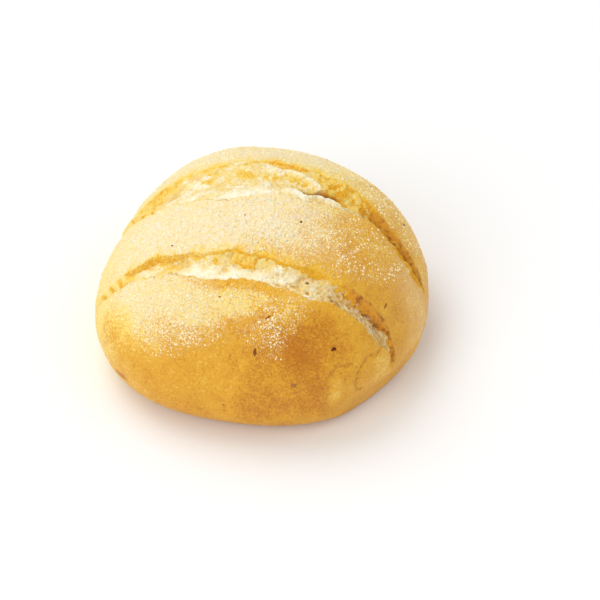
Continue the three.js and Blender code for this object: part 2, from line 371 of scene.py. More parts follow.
def crustNet():
    # ring angles for every column, front pole to back pole, and each column's turn
    start, end = (math.radians(value) for value in crust["topSpan"])
    top = np.linspace(start, end, crust["topColumns"], endpoint=False)
    under = np.linspace(end, start + 2 * math.pi, crust["columns"] - crust["topColumns"], endpoint=False)
    turns = np.concatenate([top, under])
    rows = [np.zeros(len(turns))]

    def addRings(finish, rings):
        begin = rows[-1]
        finish = np.maximum(finish, begin + crust["leastRing"] * rings)
        for ring in range(1, rings + 1):
            rows.append(mix(begin, finish, ring / rings))

    shoulder, least = crust["shoulder"], crust["least"]
    for score in scores.values():
        for line, aside, rings in (
            (nearLip, -shoulder, score["ringsBefore"]),
            (nearLip, 0, 5),
            (nearLip, least * 0.5, 3),
            (wallFoot, 0, score["wallRings"]),
            (farLip, -least * 0.8, 6),
            (farLip, least, 4),
            (farLip, least + shoulder, 5),
        ):
            addRings(ringAngleOn(lambda x: line(score, x) + aside, turns), rings)
    addRings(np.full(len(turns), math.pi), crust["lastRings"])
    return turns, np.array(rows)


def crustRelief(score, x, y):
    # how far a score lifts the crust and draws it forward, and where each point lies beside its lips
    parted, gap = openShare(score, x)
    fromLip = y - nearLip(score, x)
    past = fromLip - gap
    stands = smoothLine(score["farStands"], x) * parted
    lifted = smoothLine(score["nearStands"], x) * parted
    floor = -(score["sunk"] + 2.2) * parted
    front = lifted * np.exp(np.minimum(fromLip, 0) / lip["reach"])
    behind = stands * np.exp(-np.maximum(past, 0) / ear["reach"])
    wall = stands - ear["wall"] * np.maximum(-past, 0)
    inside = most(wall, mix(lifted, floor, ease(fromLip, 0, 0.9)), floor)
    rise = np.where(fromLip <= 0, front, np.where(past >= 0, behind, inside))
    forward = ear["overhang"] * parted * bell(past / ear["overhangReach"]) * (fromLip > 0)
    return rise, forward, parted, fromLip, past


def creaseRelief(score, x, y, z):
    # the soft crease in which each score runs out on the flanks
    line = (nearLip(score, x) + farLip(score, x)) / 2
    flankShare = ease(np.abs(x), crease["begins"], crease["full"])
    highShare = ease(z, crease["lowest"], crease["lowest"] + 16)
    return -crease["depth"] * flankShare * highShare * bell((y - line) / crease["reach"])


def lipMasks(score, plain, parted, fromLip, past):
    # where the crust beside a score is golden, bare of semolina, torn away and seared
    x, y, z = plain.T
    along = np.stack([x, y * 0.35, z * 0], axis=1)
    patchy = ease(softNoise(along, 2.7, score["seed"] + 7) + 0.6 * softNoise(along, 0.9, 9), -0.4, 0.5)
    before, beyond = np.minimum(fromLip, 0), np.maximum(past, 0)
    nearSide, farSide = past < 0, fromLip > 0
    nearGold = smoothLine(score["nearGold"], x)
    nearEdge = np.exp(before / mix(0.3, 1.4, patchy)) * nearSide * nearGold * mix(0.3, 1, patchy)
    left, right, changes, changed = score["goldReach"]
    fades = mix(0.3, mix(left, right, ease(x, changes, changed)), patchy)
    farEdge = np.exp(-beyond / fades) * farSide * smoothLine(score["farGold"], x)
    farEdge *= mix(0.35, 1, np.where(nearSide, 1, patchy))
    nearBare = np.exp(before / 1.6) * nearSide * np.minimum(1, 0.1 + 1.6 * nearGold)
    farBare = np.exp(-beyond / 0.9) * farSide * mix(0.4, 1, patchy)
    scorched = bell((past + score["searedBehind"]) / score["searedHalf"]) * smoothLine(score["seared"], x)
    return {
        "gold": np.minimum(1, 1.6 * parted) * most(nearEdge, farEdge),
        "bare": parted * most(nearBare, farBare),
        "torn": ease(fromLip, -0.3, 0.2) * ease(past, 0.8, 0.2) * (parted > 0.05),
        "seared": np.minimum(1, 2 * parted) * scorched * mix(0.75, 1, patchy) * farSide,
    }


def lipStrip(points):
    # a toasted, grainy strip along the front score's near lip
    x, y, z = points.T
    edge = nearLip(scores["front"], x) - y
    return ease(edge, -0.3, 0.3) * ease(edge, 3, 1.4) * within(x, -12, -3, 10, 15) * (z > 25)


def sphereStart(name, columns, rings, turned):
    # a ball whose poles lie on the Y axis, or on the X axis
    angles = (math.radians(90), 0, 0) if turned == "Y" else (0, math.radians(90), 0)
    bpy.ops.mesh.primitive_uv_sphere_add(segments=columns, ring_count=rings, radius=1, rotation=angles)
    ball = bpy.context.object
    ball.name = name
    ball.data.name = name
    bpy.ops.object.transform_apply(location=False, rotation=True, scale=False)
    return ball


def makeCrust():
    turns, angles = crustNet()
    rings = len(angles) - 1
    piece = sphereStart("crustShell", crust["columns"], rings, "Y")
    ball = vertexPlaces(piece)
    column = np.round(np.arctan2(ball[:, 2], ball[:, 0]) / (2 * math.pi) * crust["columns"]).astype(int)
    ring = np.round(np.arccos(np.clip(-ball[:, 1], -1, 1)) / math.pi * rings).astype(int)
    column %= crust["columns"]
    angle, turn = angles[ring, column], turns[column]
    plain = plainPoints(angle, turn)
    x, y, z = plain.T
    offTray, onTop = ease(z, 0, 8), aboveWaist(z)
    rise = -crust["dentDepth"] * ovalAt(x, y, *crust["dent"])
    for seed, (size, height) in enumerate(dough["lumps"]):
        rise += height * softNoise(plain, size, seed)
    rise *= offTray
    forward = np.zeros(len(x))
    masks = {"gold": 0.8 * lipStrip(plain) * ease(softNoise(plain, 1.6, 40), -0.6, 0.2)}
    for score in scores.values():
        lift, lean, parted, fromLip, past = crustRelief(score, x, y)
        rise += lift * onTop + creaseRelief(score, x, y, z) * offTray
        forward += lean * onTop
        for name, mask in lipMasks(score, plain, parted * onTop, fromLip, past).items():
            masks[name] = most(masks.get(name, 0), mask)
    places = plain + plainNormals(angle, turn) * rise[:, None]
    places[:, 1] -= forward
    low = places[:, 2]
    places[:, 2] = (low + np.sqrt(low * low + dough["rim"] ** 2)) / 2
    places[:, 2] -= places[:, 2].min()
    moveVertices(piece, places)

    vertexGroup(piece, "skin", ease(places[:, 2], 1.5, 6) * (1 - 0.7 * masks["bare"]))
    for size, height in crust["pebbles"]:
        raiseRelief(piece, "CLOUDS", size, height, "skin", noise_depth=2)
    vertexGroup(piece, "rough", masks["seared"])
    raiseRelief(piece, "CLOUDS", *crust["searedPebbles"], "rough", noise_depth=1)
    for name, mask in masks.items():
        storeMask(piece, name, mask)
    return piece


print("crust")
crustShell = makeCrust()


# the bare crumb in the scores

crumb = {
    "front": {
        "rings": 340,
        "across": 92,
        "under": 12,
        "valley": ((-41, 0.5), (20, 0.5), (40, 0.5)),
        "sunk": ((-41, 0.4), (-27, 0.5), (-16, 0.7), (0, 1), (15, 1.2), (26, 1.7), (40, 1.6)),
        "nearLevel": ((-41, 0.1), (-24, 0.35), (10, 0.3), (20, 0), (28, -0.4), (40, -0.4)),
        # size and height of the swollen lumps, at the left end and at the right
        "lumps": ((4.6, 0.55, 1.2), (2.1, 0.4, 0.7)),
        "seed": 3,
        # x, y and radius of places that browned, and of holes
        "toasted": ((-7.6, -21.5, 0.9), (-27.5, -22.9, 1), (-21.5, -22.3, 1.2), (-24.5, -23.9, 0.9),
                    (-19, -23.6, 0.8), (-12.4, -21.4, 0.6)),
        "holes": ((16.6, -20.3, 0.3), (23.3, -21.3, 0.35), (24.6, -20.9, 0.3), (30.9, -18.4, 0.8),
                  (32.2, -18.6, 0.6), (28, -18, 0.5), (35.2, -18.2, 0.35)),
    },
    "back": {
        "rings": 360,
        "across": 132,
        "under": 12,
        "valley": ((-42, 0.5), (-20, 0.5), (8, 0.4), (16, 0.3), (43, 0.35)),
        "sunk": ((-42, 0.5), (-30, 0.6), (-10, 0.8), (4, 1), (12, 1.3), (22, 1.6), (30, 1.6), (43, 1.2)),
        "nearLevel": ((-42, 0.1), (-20, 0.2), (4, 0.25), (26, 0), (43, -0.3)),
        "lumps": ((4.8, 0.5, 0.4), (2.1, 0.26, 0.3)),
        "seed": 8,
        "toasted": ((-30.8, 0.6, 2), (-31.4, 4.3, 2.6), (-28.7, 5.6, 2), (-26.4, 7.4, 1.4), (-23.6, 8.2, 1),
                    (-19.6, 9.6, 1.4), (-17.6, 10, 0.9), (-14.8, 10.6, 1.5), (-17.5, 5, 1.6),
                    (-17.7, 7.6, 0.6), (-15.6, 7.2, 0.5), (-9, 11.4, 0.9), (-8.1, 7.4, 1.9), (-5.8, 7.1, 1.1),
                    (-2.7, 7.7, 1), (0.3, 8.4, 1.3), (-22.6, -2.4, 0.7), (-9.3, -2.2, 0.6), (-7.9, -2, 0.5),
                    (5.5, 9.6, 2), (8.6, 9.2, 1.6), (3.4, 10.8, 1.3), (-12.6, 5.6, 0.35), (-12, 4.6, 0.35),
                    (-11.4, 3.6, 0.35), (-10.8, 2.6, 0.35), (0.6, 13.8, 2.4), (4.6, 13.8, 2)),
        "holes": ((-14.6, 10.2, 0.25), (24.1, 9.6, 0.2), (33.6, 7.4, 0.4)),
    },
}
tucked = {"ends": 0.4, "near": 0.9, "far": 0.5}  # how far the crumb reaches in under the crust
# the strip of crumb that stands up along the back score's near lip, and the gap behind it
strip = {"span": (2.5, 5.5, 15, 23), "behind": 1.4, "half": 1.2, "level": 0.85,
         "gapSpan": (6.5, 9.5, 15, 19), "gapBehind": 4.5, "gapHalf": 0.6, "gapDepth": 1}
# the pale stretched fold under the back score's far lip
fold = {"line": ((-4, 12), (-1, 11.2), (3, 11.6), (7, 10.9), (11, 9.6), (14.5, 8.6)),
        "span": (-4, -1, 11, 14.5), "half": 0.95, "height": 0.9}
# the flap of crust that still hangs in the front score
flap = {"x": 0.2, "half": 3.3, "reach": 3.6, "height": 0.55}
# the slits at the front score's left end, and how they slant
slits = {"bars": (-39.8, -37.4, -34.9, -32.2), "y": -23.4, "half": 0.6, "slant": 0.7}


def cobbles(points, size, seed):
    return np.sqrt(np.clip(1 - (cellNoise(points, size, seed) / 0.82) ** 2, 0, 1))


def crumbBed(plain, share, score, facts):
    # what both beds of crumb have: their level, swollen lumps, bubbles, holes and browned places, and painted
    # shade in the low places and the holes
    bed = SimpleNamespace(plain=plain, share=share, x=plain[:, 0], y=plain[:, 1])
    x, y, z = plain.T
    parted, gap = openShare(score, x)
    bed.parted = parted
    bed.fromLip = y - nearLip(score, x)
    bed.toFar = gap - bed.fromLip
    valley = smoothLine(facts["valley"], x)
    sunk = smoothLine(facts["sunk"], x) * parted
    nearLevel = smoothLine(facts["nearLevel"], x) * parted
    farLevel = (smoothLine(score["farStands"], x) - smoothLine(score["band"], x)) * parted
    bed.level = np.where(share < valley, mix(nearLevel, -sunk, ease(share, 0.1, valley)),
                         mix(-sunk, farLevel, ease(share, valley, 0.95)))

    rightward = ease(x, -14, 12)
    bed.warp = np.stack([softNoise(plain, 2.6, facts["seed"] + i) for i in range(3)], axis=1)
    warped = (plain + bed.warp * 0.9) * (0.75, 1, 1)
    relief = 0.16 * softNoise(plain, 0.9, 21) + 0.1 * softNoise(plain, 0.42, 22)
    for step, (size, left, right) in enumerate(facts["lumps"]):
        relief += mix(left, right, rightward) * (cobbles(warped, size, facts["seed"] + step) - 0.72)
    bubble = cellNoise(plain * (0.8, 1, 1), 1.5, 30)
    bubbly = ease(softNoise(plain, 3.4, 31), -0.15, 0.3) * mix(0.5, 1, rightward)
    relief += bubbly * (0.18 * bell((bubble - 0.36) / 0.1) - 0.36 * ease(bubble, 0.3, 0.06))
    relief += mix(0.05, 0.22, rightward) * (cobbles(plain + bed.warp * 0.3, 0.95, 32) - 0.6)
    bed.deep = np.zeros(len(x))
    ragged = 0.8 * softNoise(plain, 0.8, 14)
    for holeX, holeY, radius in facts["holes"]:
        reach = np.hypot((x - holeX) * 0.75, y - holeY) / radius + ragged
        hole = ease(reach, 1.5, 0.4)
        relief += 0.4 * radius * bell((reach - 1.8) / 0.6) - 1.4 * radius * hole
        # painted shade in the hole
        bed.deep = most(bed.deep, hole * 0.65)
    bed.relief = relief
    # painted shade: the low places of the relief are marked, to be coloured tan
    bed.crevice = ease(relief, 0.12, -0.55)

    bed.mottled = ease(softNoise(plain * (0.7, 1, 1), 1.6, 15) + 0.6 * softNoise(plain, 0.6, 16), 0, 0.6)
    fringe = ease(bed.toFar + 0.8 * softNoise(plain, 1.7, 17), 3, 0.9) * smoothLine(score["farGold"], x)
    bed.toasted = fringe * mix(0.35, 1, bed.mottled)
    ragged = 0.7 * softNoise(plain, 1.2, 13)
    for brownX, brownY, radius in facts["toasted"]:
        reach = np.hypot((x - brownX) * 0.8, y - brownY) / radius + ragged
        bed.toasted = most(bed.toasted, 0.8 * ease(reach, 1.5, 0.3))
    bed.threads = softNoise(np.stack([x + y * 0.9, y * 0.22, z * 0.22], axis=1), 0.75, 51)
    bed.rough = cobbles(plain, 1.1, 44) - 0.6
    bed.shade = np.zeros(len(x))
    return bed


def shapeBackCrumb(bed):
    # its torn and toasted walls, the strip and its gap, the fold, and white puffs at the left
    x, y, plain, fromLip = bed.x, bed.y, bed.plain, bed.fromLip
    torn = ease(softNoise(plain * (1, 0.8, 0.8), 1.5, 36) + 0.5 * bed.rough, -0.5, 0.5)
    wall = ease(x, 5, 15) * ease(fromLip, 2, 3.6)
    rightEnd = ease(x, 23, 28)
    bed.toasted = most(bed.toasted, 0.25 * bed.mottled * ease(bed.share, 0.3, 0.6),
                       wall * mix(0.45, 1.2, torn), rightEnd * mix(0.7, 1.25, torn),
                       within(x, -39, -36, -31, -27) * mix(0.5, 1.3, bed.mottled))
    bed.crusty = ease(x, -36.5, -39)
    bed.seared = ease(x, 20, 29) * ease(fromLip, 0.8, 2) * mix(0.4, 0.9, torn)
    bed.relief += (0.55 * bed.rough + 0.25 * bed.threads) * most(wall, rightEnd)

    wander = 0.35 * np.sin(x / 1.9) + 0.2 * np.sin(x / 0.83) + 0.9 * bell((x - 12) / 4.5)
    half = strip["half"] * (0.85 + 0.3 * np.sin(x / 2.6))
    crest = bell((fromLip - strip["behind"] - wander) / half) * within(x, *strip["span"])
    ridge = strip["level"] + 0.3 * softNoise(plain, 2.2, 33) + 0.15 * softNoise(plain, 0.9, 34)
    bed.level = mix(bed.level, ridge, crest)
    bed.relief *= 1 - 0.7 * crest
    trench = bell((fromLip - strip["gapBehind"] - wander) / strip["gapHalf"]) * within(x, *strip["gapSpan"])
    narrow = bell((fromLip - 1.2 - 0.5 * wander) / 0.75) * ease(x, 18, 22) * mix(1, 0.55, ease(x, 26, 30))
    narrow *= ease(softNoise(plain * (1, 0.3, 0.3), 2.4, 35), -0.6, 0)
    # painted shade in the gap behind the strip and in the narrow groove
    bed.deep = most(bed.deep, trench, narrow)
    arc = bell((y - smoothLine(fold["line"], x)) / fold["half"]) * within(x, *fold["span"])
    bed.level += fold["height"] * arc - strip["gapDepth"] * trench - 0.7 * narrow
    puffed = within(fromLip, -0.4, 0.5, 2, 4.5) * within(x, -27, -20, 2, 7)
    puffed *= mix(0.15, 1, ease(softNoise(plain * (0.5, 1, 1), 3.4, 37), -0.35, 0.15))
    # white crumb on the strip, the fold and the puffs, the puffs whitest on their raised tops as painted
    # highlight
    bed.white = most(crest, arc * 0.6, puffed * mix(0.35, 0.9, ease(bed.relief, -0.5, 0.1)))


def shapeFrontCrumb(bed):
    # foam in its middle, threads and a seared far edge towards the right
    x, y, plain, fromLip, toFar = bed.x, bed.y, bed.plain, bed.fromLip, bed.toFar
    pulled = ease(x, 19, 27)
    bed.relief = mix(bed.relief, 0.5 * bed.relief + 0.4 * bed.threads, pulled)
    # painted shade between the pulled threads
    bed.crevice = mix(bed.crevice, most(0.35, ease(bed.threads, 0.2, -0.5)), pulled)
    foam = cellNoise((plain + 0.25 * bed.warp) * (0.85, 1, 1), 1.7, 61)
    foamy = within(x, 4, 11, 33, 36) * ease(softNoise(plain, 3.6, 62), -0.55, 0)
    bowl = ease(foam, 0.4, 0.1) * foamy
    rimmed = bell((foam - 0.5) / 0.12) * foamy
    # painted shade in the bowls of the bubbles
    bed.crevice = most(bed.crevice, bowl)
    wide = mix(2.3, 1.3, ease(x, 34, 38))
    edge = ease(x, 23, 27) * ease(toFar + 0.6 * softNoise(plain, 1.1, 18), wide + 0.5, wide - 0.8)
    bed.seared = edge
    bed.relief += bed.rough * (0.3 * ease(toFar, 2, 0.8) * ease(x, 14, 22) + 0.4 * edge)
    bed.relief += 0.2 * rimmed - 0.5 * bowl
    bed.level -= mix(0.35, 0.1, ease(x, 27, 31)) * edge
    # darker spots along the seared edge, and painted shade among the threads at the right end
    bed.deep = most(bed.deep, 0.8 * edge * ease(softNoise(plain, 1.2, 19) - 0.5 * bed.rough, 0, 0.6),
                    0.3 * ease(x, 30, 35) * ease(bed.threads, -0.3, 0.3))
    puffed = most(within(fromLip, -0.5, 0.4, 1.6, 3.6) * within(x, -19, -13, 10, 17),
                  ovalAt(x, fromLip, -25, 1.2, 2.6, 1), ovalAt(x, y, 12.6, -20.9, 2.4, 1.3))
    # white puffs and bubble rims, the puffs whitest where they stand highest as painted highlight
    bed.white = most(puffed * mix(0.2, 0.85, ease(bed.relief, -0.4, 0.2)), 0.5 * rimmed)
    stained = mix(0.1, 0.65, ease(softNoise(plain * (0.8, 1, 1), 0.9, 20) + bed.rough, -0.3, 0.6))
    bed.toasted = most(bed.toasted, edge, stained * ease(x, -11, -17),
                       mix(0.6, 1, bed.mottled) * ease(x, -27, -30))
    bed.shade = ease(x, 14, 28)
    cutSlits(bed)
    hangFlap(bed)


def cutSlits(bed):
    # at its left end there are only slits in the stretched crust
    leftEnd = ease(bed.x, -31, -32.5)
    bars = ease(bed.x, -39, -40)
    for barX in slits["bars"]:
        bars = most(bars, bell((bed.x + slits["slant"] * (bed.y - slits["y"]) - barX) / slits["half"]))
    bed.level = mix(bed.level, 0.3 * bed.parted, bars * leftEnd)
    bed.relief *= 1 - 0.8 * leftEnd
    bed.toasted = mix(bed.toasted, (1 - bars) * mix(0.85, 1.2, bed.mottled), leftEnd)
    bed.crusty = leftEnd * bars
    bed.crevice *= 1 - leftEnd


def hangFlap(bed):
    # a flap of crust, with a toasted border around a paler middle, and a painted shadow in the crumb under
    # its lower edge
    u = (bed.x - flap["x"]) / flap["half"] + 0.12 * softNoise(bed.plain, 1.6, 53)
    v = bed.toFar / flap["reach"] + 0.1 * softNoise(bed.plain, 1.3, 54)
    held = ease(np.abs(u + 0.25 * v), 1.05, 0.85) * ease(v, 1.1, 0.9)
    border = most(bell((v - 0.1) / 0.2), bell((v - 0.86) / 0.16), bell((u - 0.74) / 0.3))
    border *= mix(0.6, 1, ease(softNoise(bed.plain, 1.3, 55), -0.4, 0.2))
    streaks = ease(softNoise(bed.plain * (1, 0.3, 0.3), 0.8, 52), -0.3, 0.4)
    # painted shadow under the flap's lower edge
    below = ease(np.abs(u), 1.1, 0.8) * bell((v - 1.16) / 0.12)
    bed.level += held * flap["height"] * mix(0.5, 1, border) - 0.25 * below
    bed.relief *= 1 - 0.7 * held
    bed.toasted = mix(bed.toasted, most(1.4 * border, 0.45 + 0.6 * streaks), held)
    bed.crusty = most(bed.crusty, held * (1 - border) * 0.25)
    bed.white *= 1 - held
    bed.crevice = most(bed.crevice * (1 - held), below)


def turnAt(score, x):
    turns = np.linspace(0.05, math.pi - 0.05, 1500)
    angle = ringAngleOn(lambda lineX: nearLip(score, lineX), turns)
    return np.interp(-x, -plainPoints(angle, turns)[:, 0], turns)


def makeCrumb(name, score, facts, shapeOwn):
    # a closed tongue of crumb from one end of the score to the other
    count = facts["across"] + facts["under"]
    piece = sphereStart(name, count, facts["rings"], "X")
    ball = vertexPlaces(piece)
    along = np.arccos(np.clip(ball[:, 0], -1, 1)) / math.pi
    around = np.round(np.arctan2(ball[:, 2], -ball[:, 1]) / (2 * math.pi) * count).astype(int) % count
    turn = mix(turnAt(score, score["near"][-1][0] - tucked["ends"]),
               turnAt(score, score["near"][0][0] + tucked["ends"]), along)
    near = ringAngleOn(lambda x: nearLip(score, x) - tucked["near"], turn)
    far = ringAngleOn(lambda x: farLip(score, x) + tucked["far"], turn)
    top = around <= facts["across"]
    share = np.where(top, around / facts["across"], (count - around) / facts["under"])
    angle = mix(near, far, share)
    plain = plainPoints(angle, turn)
    bed = crumbBed(plain, share, score, facts)
    shapeOwn(bed)
    inside = ease(bed.fromLip, -0.8, 0.5) * ease(bed.toFar, -0.6, 0.6) * bed.parted
    rise = bed.level + bed.relief * inside - tucked["near"] * ease(bed.fromLip, 0.1, -0.9)
    rise -= tucked["far"] * ease(bed.toFar, 0.1, -0.5)
    under = -(score["sunk"] + 1.7) * bed.parted * np.clip(4 * share * (1 - share), 0, 1) ** 0.35 - 0.9
    rise = np.where(top, rise, under) * aboveWaist(plain[:, 2])
    moveVertices(piece, plain + plainNormals(angle, turn) * rise[:, None])
    onlySelect(piece)
    bpy.ops.object.mode_set(mode="EDIT")
    bpy.ops.mesh.select_all(action="SELECT")
    bpy.ops.mesh.normals_make_consistent(inside=False)
    bpy.ops.object.mode_set(mode="OBJECT")
    vertexGroup(piece, "soft", inside * top * (1 - bed.crusty))
    raiseRelief(piece, "STUCCI", 0.7, 0.09, "soft", turbulence=4)

    bed.toasted *= 1 - bed.white
    bed.crevice *= 1 - 0.6 * bed.white
    for mask in ("toasted", "crevice", "deep", "white", "shade", "crusty", "seared"):
        storeMask(piece, mask, getattr(bed, mask))
    bpy.ops.object.shade_smooth()
    return piece


print("crumb")
frontCrumb = makeCrumb("frontCrumb", scores["front"], crumb["front"], shapeFrontCrumb)
backCrumb = makeCrumb("backCrumb", scores["back"], crumb["back"], shapeBackCrumb)


# cracks in the crust of the right flank, each a line of x and y, half its width and its depth

cracks = (
    (((36.2, -19.8), (36.6, -21), (35.4, -23.4), (34.2, -25), (32.6, -28.2), (31.6, -30.6)), 0.15, 0.28),
    (((39.3, -18), (40.2, -17.6), (41.2, -16.2)), 0.15, 0.28),
    (((27.6, -31.4), (29.4, -30.2), (30.8, -28.9), (32, -28.4)), 0.15, 0.28),
    (((28.6, -27.6), (27.7, -30.9), (25.6, -34.4)), 0.2, 0.1),
)


def lineDistance(x, y, line):
    gap = np.full(len(x), 99.0)
    for (ax, ay), (bx, by) in zip(line[:-1], line[1:]):
        run = (bx - ax) ** 2 + (by - ay) ** 2
        share = np.clip(((x - ax) * (bx - ax) + (y - ay) * (by - ay)) / run, 0, 1)
        gap = np.minimum(gap, np.hypot(x - mix(ax, bx, share), y - mix(ay, by, share)))
    return gap


def cutCracks(piece):
    # the faces along the cracks are divided before the cracks are pressed in
    lowest = 12
    x, y, z = vertexPlaces(piece).T / mm
    close = reduce(np.minimum, [lineDistance(x, y, line) for line, _, _ in cracks])
    close[z < lowest] = 99
    onlySelect(piece)
    bpy.ops.object.mode_set(mode="EDIT")
    bpy.ops.mesh.select_mode(type="FACE")
    bpy.ops.mesh.select_all(action="DESELECT")
    bpy.ops.object.mode_set(mode="OBJECT")
    corner = readAll(piece.data.loops, "vertex_index", kind=np.int32)
    begins = readAll(piece.data.polygons, "loop_start", kind=np.int32)
    piece.data.polygons.foreach_set("select", np.minimum.reduceat(close[corner], begins) < 0.5)
    bpy.ops.object.mode_set(mode="EDIT")
    bpy.ops.mesh.subdivide(number_cuts=2)
    bpy.ops.object.mode_set(mode="OBJECT")
    piece.data.update()
    places = vertexPlaces(piece) / mm
    normals = readAll(piece.data.vertex_normals, "vector", 3).astype(float)
    x, y, z = places.T
    crackShade = np.zeros(len(x))
    for number, (line, half, depth) in enumerate(cracks):
        wander = 0.25 * softNoise(places, 1.4, 70 + number)
        cut = bell((lineDistance(x, y, line) + wander) / half) * (z > lowest)
        places -= normals * (cut * depth)[:, None]
        crackShade = most(crackShade, cut * min(1, depth * 2))
    moveVertices(piece, places)
    # painted shade along the cracks
    storeMask(piece, "crackShade", crackShade)


print("cracks")
cutCracks(crustShell)


# the semolina and the bran

semolina = {
    "coarse": {"count": 2300, "size": (0.4, 0.68), "apart": 0.8, "sides": "ico", "sink": 0.02, "seed": 5},
    "fine": {"count": 22000, "size": (0.24, 0.42), "apart": 0.36, "sides": "octa", "sink": -0.12, "seed": 6},
    # how far down the front it lies
    "limit": ((-42, -26), (-28.6, -33.3), (-24.7, -37.3), (-14.3, -39.6), (-4.1, -37.5), (2.9, -35.3),
              (9, -37), (13, -36), (16.5, -31), (20, -24), (25, -18), (31, -13), (36, -6), (42, 10)),
    # x, y, radius and weight of the places where they lie thickest
    "heaps": ((12.6, -33.8, 1.7, 0.8), (15.4, -30.2, 1.5, 0.3), (-4.3, -34.6, 4, 0.5), (-14, -35.5, 5, 0.6),
              (-22, -33.5, 5, 0.6), (18, -6.4, 4.5, 0.5), (23, -6.5, 4, 0.35), (29.5, -5, 3, 0.4),
              (26.5, -12, 2.5, 0.45), (31, -8.5, 2.5, 0.4), (30, 12, 6, 0.4), (20, 17, 7, 0.5)),
    # places where the fine ones are few: from x to x, from y to y, and how much so
    "sparse": ((6, 22, -22, -16, 1), (-3, 9, -22, -25, 1), (-8, 2, -6, -14, 0.7), (0, 16, 8, 12, 0.6)),
    # a bare, browner streak through the dusting, and a fine scratch in it
    "streak": ((-0.5, -34), (4.1, -32.7), (7.3, -30.9)),
    "scratch": ((21.9, -12.6), (24, -8.4), (26.1, -4.6)),
}
rightPatch = (41, -2, 6, 8)  # a pale place on the right flank: x, y and reach each way


def grainForm(kind):
    if kind == "ico":
        bpy.ops.mesh.primitive_ico_sphere_add(subdivisions=1, radius=0.5)
        form = bpy.context.object
        corners = vertexPlaces(form)
        faces = np.array([face.vertices[:] for face in form.data.polygons])
        bpy.data.objects.remove(form, do_unlink=True)
        return corners, faces
    corners = np.array(((1, 0, 0), (-1, 0, 0), (0, 1, 0), (0, -1, 0), (0, 0, 1), (0, 0, -1))) * 0.5
    faces = ((0, 2, 4), (2, 1, 4), (1, 3, 4), (3, 0, 4), (2, 0, 5), (1, 2, 5), (3, 1, 5), (0, 3, 5))
    return corners, np.array(faces)


def randomTurns(draw, count):
    # evenly spread turns, as matrices
    spin = draw.normal(size=(count, 4))
    spin /= np.linalg.norm(spin, axis=1)[:, None]
    w, x, y, z = spin.T
    rows = np.array((
        (1 - 2 * (y * y + z * z), 2 * (x * y - z * w), 2 * (x * z + y * w)),
        (2 * (x * y + z * w), 1 - 2 * (x * x + z * z), 2 * (y * z - x * w)),
        (2 * (x * z - y * w), 2 * (y * z + x * w), 1 - 2 * (x * x + y * y)),
    ))
    return np.moveaxis(rows, 2, 0)


def strewGrains(name, ground, facts, share, warmth):
    # lays grains on the ground, most where share is high
    draw = np.random.default_rng(facts["seed"])
    ground.data.calc_loop_triangles()
    corners = readAll(ground.data.loop_triangles, "vertices", 3, np.int32)
    places = vertexPlaces(ground) / mm
    # Blender lists a ball's faces in another order in every run, so they are put in order by place
    corners = corners[np.lexsort(np.round(places[corners].mean(axis=1), 3).T)]
    a, b, c = (places[corners[:, i]] for i in range(3))
    facing = np.cross(b - a, c - a)
    area = np.linalg.norm(facing, axis=1)
    facing /= np.maximum(area, 1e-9)[:, None]
    weight = area * share[corners].mean(axis=1)
    chosen = draw.choice(len(corners), size=facts["count"] * 5, p=weight / weight.sum())
    u, v = draw.random((2, len(chosen)))
    flip = u + v > 1
    u, v = np.where(flip, 1 - u, u), np.where(flip, 1 - v, v)
    middle = a[chosen] + (b - a)[chosen] * u[:, None] + (c - a)[chosen] * v[:, None]
    # one grain to a cell keeps them from heaping up
    _, kept = np.unique(np.floor(middle / facts["apart"]).astype(int), axis=0, return_index=True)
    kept = np.sort(kept)[:facts["count"]]
    chosen, middle, count = chosen[kept], middle[kept], len(kept)
    size = mix(*facts["size"], draw.random(count) ** 1.5)
    middle += facing[chosen] * (size * facts["sink"])[:, None]
    form, faces = grainForm(facts["sides"])
    shaped = form[None] * size[:, None, None] * draw.uniform(0.78, 1.22, size=(count, 1, 3))
    shaped *= draw.uniform(0.88, 1.12, size=(count, len(form), 1))
    shaped = np.einsum("nij,nkj->nki", randomTurns(draw, count), shaped) + middle[:, None]
    joined = faces[None] + (np.arange(count) * len(form))[:, None, None]
    mesh = bpy.data.meshes.new(name)
    mesh.from_pydata((shaped.reshape(-1, 3) * mm).tolist(), [], joined.reshape(-1, 3).tolist())
    piece = bpy.data.objects.new(name, mesh)
    bpy.context.collection.objects.link(piece)
    storeMask(piece, "hue", np.repeat(draw.random(count), len(form)))
    warm = warmth[corners[chosen, 0]] * draw.uniform(0.5, 1.5, size=count)
    storeMask(piece, "warm", np.repeat(warm, len(form)))
    onlySelect(piece)
    bpy.ops.object.shade_smooth()
    return piece


def dustShare(points):
    # the semolina lies on the crown and the upper slopes, thickest at the left
    x, y, z = points.T
    above = ease(y - smoothLine(semolina["limit"], x), -1.5, 5)
    return above * mix(1, 0.3, ease(x, 8, 28)) * mix(1, 0.35, ease(x, -29, -41)) * ease(z, 14, 26)


def filmShare(x, y):
    # how white the crust between the grains is
    lobe = mix(0.66, 0.04, ease(x + 0.5 * (y + 30), -25, 12))
    lobe *= mix(1, 0.35, ease(nearLip(scores["front"], x) - y, 5, 12))
    crown = mix(1, 0.04, ease(x + 0.25 * y, 1, 29))
    crown *= mix(1, mix(0.15, 1, ease(y - farLip(scores["front"], x), 0.5, 7)), ease(x, -5, 5))
    back = mix(0.95, 0.1, ease(x, -2, 24)) * mix(0.4, 1, ease(y - farLip(scores["back"], x), 0.5, 6))
    return mix(mix(lobe, crown, ease(y, -24, -20)), back, ease(y, 4, 12))


